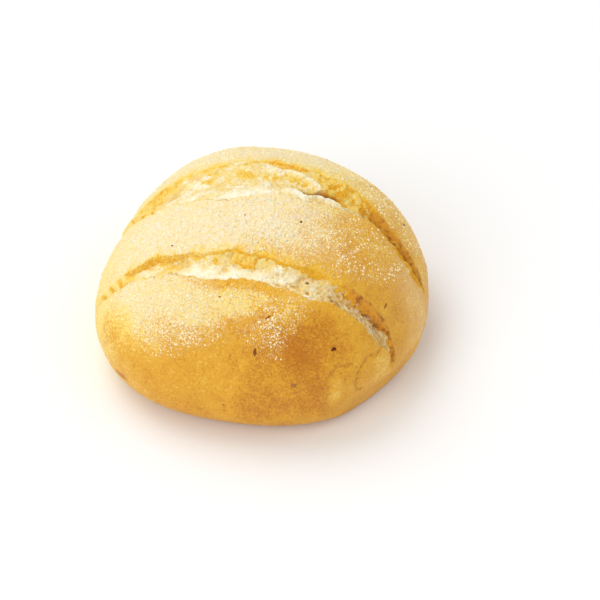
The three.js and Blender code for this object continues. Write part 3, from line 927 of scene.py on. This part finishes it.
def dustCrust(piece, skin, edgeStrip):
    # stores how dusty and how white the crust is, and says how thick each kind of grain lies on it
    x, y, z = skin.T
    dust = dustShare(skin) * (1 - storedMask(piece, "bare"))
    dust *= 1 - 0.75 * bell(lineDistance(x, y, semolina["streak"]) / 1.7)
    patchy = ease(softNoise(skin, 7, 60) + 0.5 * softNoise(skin, 2.6, 61), -0.75, 0.6)
    storeMask(piece, "dust", dust * mix(0.6, 1, patchy))
    film = dust * mix(0.75, 1, patchy) * filmShare(x, y) * (1 - 0.7 * edgeStrip)
    film = most(film, 0.8 * bell(lineDistance(x, y, semolina["scratch"]) / 0.22) * (z > 30))
    film += 0.2 * ovalAt(x, y, *rightPatch) * (z > 12)
    storeMask(piece, "film", film)
    clustered = ease(softNoise(skin, 2.2, 62) + 0.5 * softNoise(skin, 4.4, 63), -0.2, 0.5)
    heaped = sum(weight * ovalAt(x, y, heapX, heapY, radius, radius)
                 for heapX, heapY, radius, weight in semolina["heaps"])
    whole = (1 - storedMask(piece, "torn")) * (1 - storedMask(piece, "gold")) ** 2
    coarse = dust * patchy * whole * (0.1 + heaped) * mix(0.06, 1, clustered) ** 1.4 + 0.4 * edgeStrip
    sparse = most(*(share * ease(x, startX, endX) * ease(y, startY, endY)
                    for startX, endX, startY, endY, share in semolina["sparse"]))
    fine = dust * whole * (0.5 + 0.5 * patchy + 0.4 * heaped) * mix(0.5, 1, clustered)
    return dust, coarse, fine * mix(1, 0.4, sparse) + 0.6 * edgeStrip


print("semolina")
skin = vertexPlaces(crustShell) / mm
edgeStrip = lipStrip(skin)
dust, coarseShare, fineShare = dustCrust(crustShell, skin, edgeStrip)
coarseSemolina = strewGrains("coarseSemolina", crustShell, semolina["coarse"], coarseShare, edgeStrip)
fineSemolina = strewGrains("fineSemolina", crustShell, semolina["fine"], fineShare, edgeStrip)

# x, y, length, width, bearing in degrees, and how dark from 0 to 1
bran = {
    "flecks": (
        (7, -36.9, 1.9, 0.8, 100, 0.8), (25.8, -29.6, 1.3, 1.1, 30, 1), (8.8, -30.7, 1.4, 0.6, 60, 0.6),
        (17.6, -38.2, 1.5, 1.2, 10, 0.3), (-3.6, -8.5, 0.5, 0.4, 0, 0.2), (-20.2, -18.6, 0.6, 0.5, 0, 0.9),
        (10.7, -6, 0.7, 0.65, 0, 1), (-4.3, -29.4, 0.7, 0.5, 0, 0.6), (35.4, -13.1, 1.7, 0.4, 100, 0.7),
        (0.4, -43.2, 0.8, 0.5, 40, 0.3), (24.6, -35.6, 0.5, 0.45, 0, 0.3), (-22, 24, 1.3, 0.9, 20, 0.6),
        (8, 31, 1.6, 0.8, 140, 0.8), (22, 25, 1.1, 0.6, 80, 0.4), (-6, 37, 1.4, 0.8, 10, 0.4),
        (33, 18, 1.1, 0.6, 60, 0.7), (-33, 14, 1, 0.7, 0, 0.3), (14, 40, 1.3, 0.7, 50, 0.6),
    ),
    "thickness": 0.36,
    "sink": 0.04,
}


def layBran():
    flakes = []
    draw = np.random.default_rng(17)
    for x, y, length, width, bearing, dark in bran["flecks"]:
        _, place, normal, _ = crustShell.ray_cast((x * mm, y * mm, 0.1), (0, 0, -1))
        place, normal = np.array(place) / mm, np.array(normal)
        bpy.ops.mesh.primitive_ico_sphere_add(subdivisions=3, radius=0.5)
        flake = bpy.context.object
        corners = vertexPlaces(flake)
        ragged = 0.6 if length > 1 else 0.25
        corners *= (1 + ragged * softNoise(corners + draw.random(3) * 20, 0.34, 4))[:, None]
        corners *= (length, width, bran["thickness"])
        corners[:, 2] += 0.12 * (corners[:, 0] ** 2 / length - 0.1)  # curled up at both ends
        heading = np.array((math.cos(math.radians(bearing)), math.sin(math.radians(bearing)), 0))
        sideways = np.cross(normal, heading)
        sideways /= np.linalg.norm(sideways)
        forward = np.cross(sideways, normal)
        moveVertices(flake, place + corners @ np.array((forward, sideways, normal)) - normal * bran["sink"])
        storeMask(flake, "hue", np.full(len(corners), dark))
        flakes.append(flake)
    bpy.ops.object.select_all(action="DESELECT")
    for flake in flakes:
        flake.select_set(True)
    bpy.context.view_layer.objects.active = flakes[0]
    bpy.ops.object.join()
    piece = bpy.context.object
    piece.name = "branFlecks"
    bpy.ops.object.shade_smooth()
    return piece


print("bran")
branFlecks = layBran()


# finishes

class Paint:
    # a material, and the nodes that are laid into it
    def __init__(self, name):
        self.material = bpy.data.materials.new(name)
        self.material.use_nodes = True
        self.tree = self.material.node_tree
        self.tree.nodes.clear()
        self.shader = self.tree.nodes.new("ShaderNodeBsdfPrincipled")
        output = self.tree.nodes.new("ShaderNodeOutputMaterial")
        self.tree.links.new(self.shader.outputs[0], output.inputs["Surface"])

    def feed(self, node, values):
        # links what another node gives, and sets what is the same all over
        for key, value in values.items():
            if isinstance(value, bpy.types.NodeSocket):
                self.tree.links.new(value, node.inputs[key])
            else:
                node.inputs[key].default_value = value
        return node

    def node(self, kind, values, **settings):
        node = self.tree.nodes.new("ShaderNode" + kind)
        for key, value in settings.items():
            setattr(node, key, value)
        return self.feed(node, values)

    def masks(self, *names):
        return [self.node("Attribute", {}, attribute_type="GEOMETRY", attribute_name=name).outputs["Fac"]
                for name in names]

    def place(self):
        return self.node("TexCoord", {}).outputs["Object"]

    def noise(self, size, detail=2, roughness=0.5):
        # rolling noise whose hills are size millimetres apart
        values = {"Vector": self.place(), "Scale": 1000 / size, "Detail": detail, "Roughness": roughness}
        return self.node("TexNoise", values).outputs["Fac"]

    def cells(self, size):
        return self.node("TexVoronoi", {"Vector": self.place(), "Scale": 1000 / size}).outputs["Distance"]

    def ramp(self, value, low, high, toLow=0.0, toHigh=1.0):
        values = {"Value": value, "From Min": low, "From Max": high, "To Min": toLow, "To Max": toHigh}
        return self.node("MapRange", values, interpolation_type="SMOOTHSTEP").outputs["Result"]

    def maths(self, operation, *values):
        return self.node("Math", dict(enumerate(values)), operation=operation).outputs[0]

    def add(self, first, second):
        return self.maths("ADD", first, second)

    def times(self, first, second):
        return self.maths("MULTIPLY", first, second)

    def unsteady(self, value, noise, height):
        # lets a noise carry a value up and down
        return self.add(value, self.times(self.maths("SUBTRACT", noise, 0.5), height))

    def blend(self, share, low, high):
        return self.node("Mix", {0: share, 6: low, 7: high}, data_type="RGBA").outputs[2]

    def bumps(self, *layers):
        # each layer is a height, a strength and a distance
        values = {}
        for height, strength, distance in layers:
            values.update({"Height": height, "Strength": strength, "Distance": distance})
            values["Normal"] = self.node("Bump", values).outputs[0]
        return values["Normal"]


searedColours = {"light": tone(220, 152, 38), "dark": tone(158, 92, 30)}
crustColours = {
    "pale": tone(247, 216, 112),
    "golden": tone(227, 167, 42),
    "brown": tone(190, 113, 14),
    "lip": tone(248, 206, 66),
    "lipDeep": tone(230, 164, 6),
    "film": tone(248, 235, 217),
    "speckle": tone(254, 246, 222),
    "crackShade": tone(172, 104, 34),
    "foot": tone(196, 128, 54),
}
crumbColours = {
    "white": tone(255, 248, 222),
    "cream": tone(247, 222, 150),
    "shadeTan": tone(228, 186, 98),
    "toasted": tone(245, 210, 100),
    "toastedDeep": tone(230, 162, 16),
    "shade": tone(200, 158, 84),
    # deep is painted shade in holes, the gap and the groove, and the darkest spots of the seared edge
    "deep": tone(152, 86, 28),
    "crusty": tone(248, 220, 130),
}
grainColours = {"cream": tone(252, 231, 164), "white": tone(255, 249, 222), "toasted": tone(237, 182, 50)}
branColours = {
    "light": (tone(170, 106, 52), tone(206, 150, 84)),
    "dark": (tone(84, 36, 14), tone(150, 72, 32)),
}


def searedOver(paint, colour, seared, middling):
    # browned torn edges, darkest in spots
    spread = paint.unsteady(seared, middling, 0.8)
    spotted = paint.ramp(paint.noise(2.1, 4, 0.65), 0.46, 0.68)
    tint = paint.blend(spotted, searedColours["light"], searedColours["dark"])
    return paint.blend(paint.ramp(spread, 0.15, 0.6), colour, tint)


def crustFinish():
    paint = Paint("bakedCrust")
    blend, ramp, times, add = paint.blend, paint.ramp, paint.times, paint.add
    height = paint.node("SeparateXYZ", {0: paint.place()}).outputs["Z"]
    bake, dusty, film, gold, crackShade, seared = paint.masks("bake", "dust", "film", "gold", "crackShade", "seared")
    broad, middling, small = paint.noise(8, 3, 0.55), paint.noise(2.4, 3, 0.6), paint.noise(0.62, 2)
    grains, bumps, glints = paint.cells(0.7), paint.noise(1.1, 2), paint.cells(0.52)

    uneven = add(add(times(broad, 0.7), times(middling, 0.45)), times(small, 1.1))
    browned = add(bake, paint.maths("SUBTRACT", uneven, 1.125))
    colour = blend(ramp(browned, 0.0, 0.5), crustColours["pale"], crustColours["golden"])
    colour = blend(ramp(browned, 0.45, 1.2), colour, crustColours["brown"])
    # painted highlights: paler specks on the small bumps stand in for glints
    paintedGlint = times(ramp(glints, 0.34, 0.12), ramp(small, 0.5, 0.62, 0.0, 0.4))
    colour = blend(paintedGlint, colour, crustColours["pale"])

    # the white film, patchy, and thinned between the grain cells and where the bumps are low, so the golden
    # crust shows there as painted shade
    filmAndHollowShade = times(film, ramp(middling, 0.25, 0.75, 0.7, 1.0))
    filmAndHollowShade = times(times(filmAndHollowShade, ramp(grains, 0.4, 0.75, 1.0, 0.5)), ramp(bumps, 0.3, 0.5, 0.6, 1.0))
    colour = blend(filmAndHollowShade, colour, crustColours["film"])
    speckle = times(times(dusty, ramp(grains, 0.46, 0.2)), 0.7)
    colour = blend(speckle, colour, crustColours["speckle"])

    turned = paint.unsteady(gold, small, 1.2)
    lipColour = blend(ramp(turned, 0.5, 1.1), crustColours["lip"], crustColours["lipDeep"])
    colour = blend(times(gold, ramp(small, 0.25, 0.6, 0.5, 1.0)), colour, lipColour)
    colour = searedOver(paint, colour, seared, middling)
    # painted shade in the cracks, darker brown
    colour = blend(times(crackShade, 0.7), colour, crustColours["crackShade"])
    colour = blend(times(ramp(height, 0.0035, 0.0), 0.6), colour, crustColours["foot"])
    paint.feed(paint.shader, {
        "Base Color": colour,
        "Roughness": ramp(dusty, 0, 0.7, 0.42, 0.8),
        "Specular IOR Level": 0.3,
        "Subsurface Weight": 0.06,
        "Subsurface Radius": (0.9, 0.5, 0.2),
        "Subsurface Scale": 0.0006,
        "Normal": paint.bumps((times(bumps, add(dusty, 0.4)), 1.0, 0.0006), (small, 0.8, 0.0003),
                              (times(ramp(grains, 0.7, 0.0), dusty), 0.9, 0.0002)),
    })
    return paint.material


def crumbFinish():
    paint = Paint("openCrumb")
    blend, ramp, times = paint.blend, paint.ramp, paint.times
    toasted, crevice, deep, white, shade, crusty, seared = paint.masks(
        "toasted", "crevice", "deep", "white", "shade", "crusty", "seared")
    broad, middling, small = paint.noise(3.4, 3), paint.noise(1.1, 3), paint.noise(0.42, 2)
    pores = paint.cells(0.9)

    colour = blend(ramp(broad, 0.32, 0.58), crumbColours["white"], crumbColours["cream"])
    # painted shade, tan between the raised pore cells
    poreShade = times(ramp(pores, 0.42, 0.7), ramp(middling, 0.35, 0.65, 0.1, 0.6))
    colour = blend(poreShade, colour, crumbColours["shadeTan"])
    colour = blend(times(shade, ramp(middling, 0.3, 0.7, 0.25, 0.8)), colour, crumbColours["shade"])
    # painted shade, tan in the low places of the crumb
    colour = blend(times(crevice, ramp(middling, 0.25, 0.6, 0.5, 0.95)), colour, crumbColours["shadeTan"])
    turned = paint.unsteady(toasted, small, 1.2)
    toastColour = blend(ramp(turned, 0.55, 1.15), crumbColours["toasted"], crumbColours["toastedDeep"])
    colour = blend(ramp(turned, 0.1, 0.6), colour, toastColour)
    colour = searedOver(paint, colour, seared, middling)
    colour = blend(times(crusty, ramp(small, 0.3, 0.6, 0.6, 1)), colour, crumbColours["crusty"])
    # white crumb, with painted highlight on the raised puffs
    colour = blend(times(white, 0.8), colour, crumbColours["white"])
    # painted shade in holes and gaps, dark brown
    colour = blend(deep, colour, crumbColours["deep"])
    paint.feed(paint.shader, {
        "Base Color": colour,
        "Roughness": 0.75,
        "Specular IOR Level": 0.2,
        "Subsurface Weight": 0.12,
        "Subsurface Radius": (1.0, 0.75, 0.45),
        "Subsurface Scale": 0.0008,
        "Normal": paint.bumps((middling, 0.9, 0.0006), (ramp(pores, 0.8, 0.0), 0.5, 0.0003),
                              (small, 0.6, 0.0003)),
    })
    return paint.material


def grainFinish():
    paint = Paint("semolinaGrain")
    hue, warm = paint.masks("hue", "warm")
    flecked = paint.times(paint.ramp(paint.noise(0.4, 2), 0.5, 0.7), 0.35)
    colour = paint.blend(hue, grainColours["cream"], grainColours["white"])
    colour = paint.blend(paint.maths("MAXIMUM", flecked, warm), colour, grainColours["toasted"])
    paint.feed(paint.shader, {"Base Color": colour, "Roughness": 0.6, "Specular IOR Level": 0.3})
    return paint.material


def branFinish():
    paint = Paint("branHusk")
    streak = paint.noise(0.45, 3)
    light = paint.blend(paint.ramp(streak, 0.3, 0.7), *branColours["light"])
    dark = paint.blend(paint.ramp(streak, 0.35, 0.75), *branColours["dark"])
    paint.feed(paint.shader, {
        "Base Color": paint.blend(paint.masks("hue")[0], light, dark),
        "Roughness": 0.8,
        "Specular IOR Level": 0.15,
        "Normal": paint.bumps((streak, 0.8, 0.0002)),
    })
    return paint.material


bake = {
    "round": ((-56, 0.12), (-33, 0.15), (-10, 0.36), (4, 0.53), (20, 0.59), (31, 0.63), (45, 0.58)),
    # the upper edge of the brownest place, on the right of the front
    "arc": ((4, -35), (8, -31.2), (13.3, -27.6), (21.2, -25.2), (28, -25), (33, -26)),
    # places that browned more or less: x, y, reach each way, lowest height and change
    "places": ((*rightPatch, 12, -0.12), (24, -9, 8, 5, 20, 0.1), (38, -18, 4, 4, 12, 0.1)),
    # and lines: the bare streak, a paler fold and the stretched skin between two cracks
    "lines": (
        (semolina["streak"], 2.2, 20, 0.24),
        (((1.6, -42.6), (3.4, -40.6), (5.4, -38.6), (7, -37.4)), 0.7, 10, -0.2),
        (((37.6, -19.6), (37.4, -22), (36.6, -24.4)), 1.3, 10, -0.28),
    ),
    "nick": ((-30.6, -37), (-27.9, -38.6)),
    "nickHeight": 9.8,
}


def bakeShare(points):
    # the front and the right of the roll browned most, and its foot all round
    x, y, z = points.T
    belowLip = nearLip(scores["front"], x) - y
    front = smoothLine(bake["round"], x + 0.9 * (-y - 20))
    front += 0.1 * ease(z, 22, 15) * within(x, -36, -22, 2, 16)
    front -= 0.26 * within(belowLip, 1.5, 3, 6, 11) * within(x, -22, -14, 5, 12)
    back = 0.1 + 0.36 * ease(x, 2, 38) + 0.3 * ease(z, 26, 5)
    brown = mix(front, back, ease(y, -8, 16))
    below = smoothLine(bake["arc"], x) - y
    brownest = ease(below, -1, 6) * np.exp(-np.maximum(below, 0) / 14) * within(x, -3, 17, 19, 34)
    brown += (0.48 * brownest + 0.12 * ovalAt(x, y, 20, -32, 6, 6)) * ease(z, 2, 14)
    brown -= 0.12 * bell((below + 1.6) / 1.6) * within(x, 9, 14, 27, 33) * (y < -20)
    brown += 0.08 * lipStrip(points) - 0.07 * ease(x, 28, 36) * ease(z, 20, 12)
    for *place, lowest, change in bake["places"]:
        brown += change * ovalAt(x, y, *place) * (z > lowest)
    for line, half, lowest, change in bake["lines"]:
        brown += change * bell(lineDistance(x, y, line) / half) * (z > lowest)
    # a scorched nick at the foot on the left
    brown += 1.2 * bell(lineDistance(x, y, bake["nick"]) / 0.6) * bell((z - bake["nickHeight"]) / 0.9)
    # a floury patch low on the right
    side = (x - 27.4) * 0.62 + (y + 33.2) * 0.4
    ragged = softNoise(points, 2.4, 81) + 0.5 * softNoise(points, 1, 82)
    floury = ease(np.abs(side) + 0.6 * ragged, 1.7, 0.6) * within(z + 2 * ragged, 9.5, 13, 18, 23)
    return brown - 0.4 * floury * (y < -20)


print("finishes")
storeMask(crustShell, "bake", bakeShare(skin) - 0.2 * storedMask(crustShell, "film") - 0.16 * dust)
onlySelect(crustShell)
bpy.ops.object.shade_smooth()
crumbPaint = crumbFinish()
grainPaint = grainFinish()
for piece, material, slot in (
    (crustShell, crustFinish(), "crust"),
    (frontCrumb, crumbPaint, "crumb"),
    (backCrumb, crumbPaint, "crumb"),
    (coarseSemolina, grainPaint, "semolina"),
    (fineSemolina, grainPaint, "semolina"),
    (branFlecks, branFinish(), "bran"),
):
    piece.data.materials.clear()
    piece.data.materials.append(material)
    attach(piece, "root")
    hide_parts("bread_roll")


# floor, light and camera

studio = {
    "aim": (-0.0006, -0.00065, 0.01275),
    "distance": 0.6,
    "elevation": math.radians(46),
    "azimuth": math.radians(15.7),
    "lens": 133.2,
    "shift": (0.0593, -0.0157),
    "ambient": 0.65,
    "floor": 0.95,
    "floorSize": 6,
    # place, size, power and colour of each soft light
    "lights": (
        ((-0.48, 0.27, 1.03), 0.9, 4.9, (1, 0.995, 0.98)),
        ((-0.35, -0.75, 0.6), 0.7, 2.9, (1, 1, 1)),
        ((0.8, 0.1, 0.7), 0.8, 0.8, (1, 1, 1)),
    ),
    "lightsAim": (0, 0, 0.02),
}


def addAimed(name, data, place, target):
    thing = bpy.data.objects.new(name, data)
    bpy.context.collection.objects.link(thing)
    thing.location = place
    thing.rotation_euler = (Vector(place) - Vector(target)).to_track_quat("Z", "Y").to_euler()
    return thing


def makeStudio():
    bpy.ops.object.select_all(action="DESELECT")
    bpy.ops.mesh.primitive_plane_add(size=studio["floorSize"], location=(0, 0, -0.0001))
    floor = bpy.context.object
    floor.name = "paleFloor"
    paint = Paint("palePaint")
    paint.feed(paint.shader, {"Base Color": (studio["floor"],) * 3 + (1,), "Roughness": 0.9})
    floor.data.materials.append(paint.material)
    for number, (place, size, power, colour) in enumerate(studio["lights"]):
        lamp = bpy.data.lights.new("softLight" + str(number), "AREA")
        lamp.shape = "DISK"
        lamp.size = size
        lamp.energy = power
        lamp.color = colour
        addAimed(lamp.name, lamp, place, studio["lightsAim"])
    world = bpy.data.worlds.new("paleRoom")
    world.use_nodes = True
    world.node_tree.nodes["Background"].inputs["Color"].default_value = (1, 1, 1, 1)
    world.node_tree.nodes["Background"].inputs["Strength"].default_value = studio["ambient"]
    bpy.context.scene.world = world
    bpy.context.scene.view_settings.view_transform = "Standard"
    view = bpy.data.cameras.new("view")
    view.lens = studio["lens"]
    view.sensor_width = 36
    view.shift_x, view.shift_y = studio["shift"]
    view.clip_start = 0.01
    view.clip_end = 20
    aim = studio["aim"]
    out = math.cos(studio["elevation"]) * studio["distance"]
    place = (aim[0] + out * math.sin(studio["azimuth"]), aim[1] - out * math.cos(studio["azimuth"]),
             aim[2] + math.sin(studio["elevation"]) * studio["distance"])
    bpy.context.scene.camera = addAimed("view", view, place, aim)


print("studio")
makeStudio()
